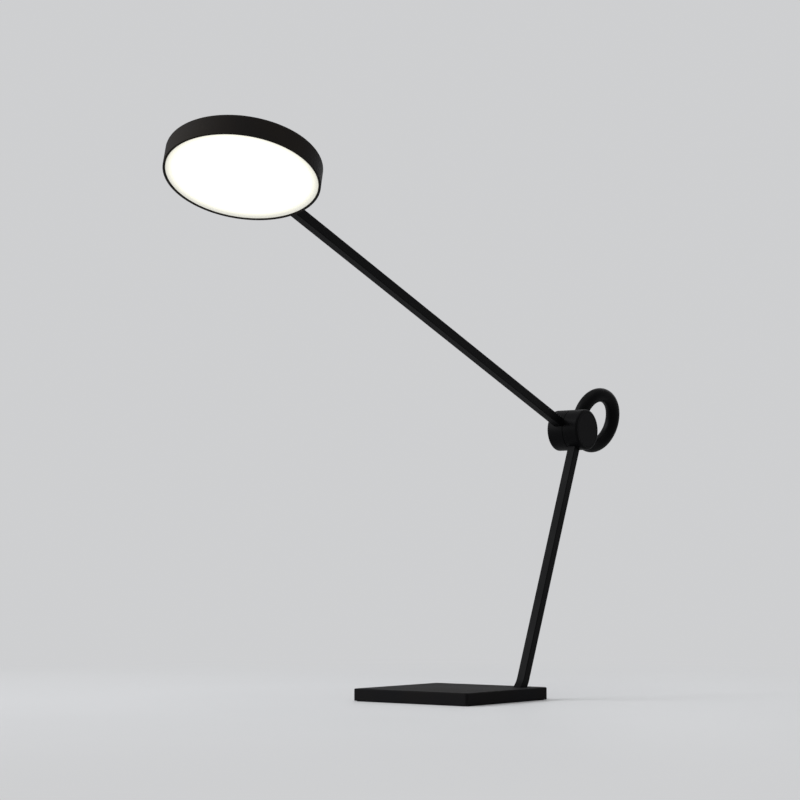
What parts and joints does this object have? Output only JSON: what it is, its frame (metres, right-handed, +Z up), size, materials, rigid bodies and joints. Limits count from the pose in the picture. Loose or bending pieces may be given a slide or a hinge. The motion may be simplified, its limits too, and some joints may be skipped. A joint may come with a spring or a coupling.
{
  "type": "desk lamp",
  "caption": "Desk lamp with a square weighted foot, leaning post, friction hinge, long arm, thin disc light and a ring counterweight.",
  "frame": {"origin": "centre of the foot's underside, on the surface it stands on", "axes": "+Z up; -Y from the hinge towards the light, in the plane that the arm moves in; +X along the hinge axis, from the turning half of the drum to the fixed half"},
  "size_m": [0.1919, 0.7252, 0.5564],
  "materials": {
    "foot_steel": "fine matt black powder coat",
    "bar_steel": "smooth satin black paint",
    "bar_aluminium": "smooth satin black paint",
    "drum_metal": "smooth satin black paint",
    "ring_steel": "smooth satin black paint",
    "head_metal": "fine matt black powder coat",
    "plain_steel": "rolled",
    "turned_steel": "turned",
    "spring_steel": "blued and oiled",
    "zinc_screws": "zinc plated",
    "brass_fittings": "turned",
    "plain_aluminium": "mill finish",
    "rubber_pad": "matt",
    "wire_jacket": "soft jacket",
    "board_laminate": "white solder mask",
    "board_parts": "moulded",
    "socket_moulding": "moulded",
    "bearing_plastic": "self-lubricating",
    "light_phosphor": "cured resin",
    "clear_acrylic": "clear, dotted on the back",
    "white_sheet": "white film",
    "opal_acrylic": "opal, lit from behind"
  },
  "bodies": {
    "stand": {"base_plate": "foot_steel", "base_cover": "plain_steel", "cover_screws": "zinc_screws", "base_pad": "rubber_pad", "foot_block": "plain_steel", "foot_screws": "zinc_screws", "post": "bar_steel", "post_wire": "wire_jacket", "driver_board": "board_laminate", "board_components": "board_parts", "board_spacers": "brass_fittings", "board_screws": "zinc_screws", "power_socket": "socket_moulding", "socket_lead": "wire_jacket", "post_hub": "drum_metal", "post_cap": "drum_metal", "post_grub_screw": "zinc_screws", "hinge_axle": "turned_steel", "thrust_washer": "turned_steel", "disc_springs": "spring_steel", "axle_nut": "turned_steel"},
    "arm": {"arm_hub": "drum_metal", "arm_cap": "drum_metal", "hinge_bush": "bearing_plastic", "friction_disc": "bearing_plastic", "stop_pin": "turned_steel", "arm_grub_screw": "zinc_screws", "counterweight_ring": "ring_steel", "ring_studs": "zinc_screws", "arm": "bar_aluminium", "arm_wire": "wire_jacket", "swivel_pin": "turned_steel", "swivel_nut": "brass_fittings", "wave_spring": "spring_steel"},
    "head": {"head_shell": "head_metal", "swivel_block": "plain_aluminium", "swivel_screws": "zinc_screws", "swivel_bush": "bearing_plastic", "led_carrier": "plain_aluminium", "carrier_screws": "zinc_screws", "led_strip": "board_laminate", "led_chips": "light_phosphor", "light_guide": "clear_acrylic", "reflector": "white_sheet", "diffuser": "opal_acrylic", "head_wire": "wire_jacket"}
  },
  "joints": [
    {"name": "arm_tilt", "type": "hinge", "parent": "stand", "child": "arm", "pos_m": [0.04745, 0.17129, 0.2983], "axis": [1, 0, 0], "range_deg": [-58, 41]},
    {"name": "head_roll", "type": "hinge", "parent": "arm", "child": "head", "pos_m": [0.0413, -0.38772, 0.51737], "axis": [0, -0.9311, 0.3649], "range_deg": [-98, 82]}
  ]
}
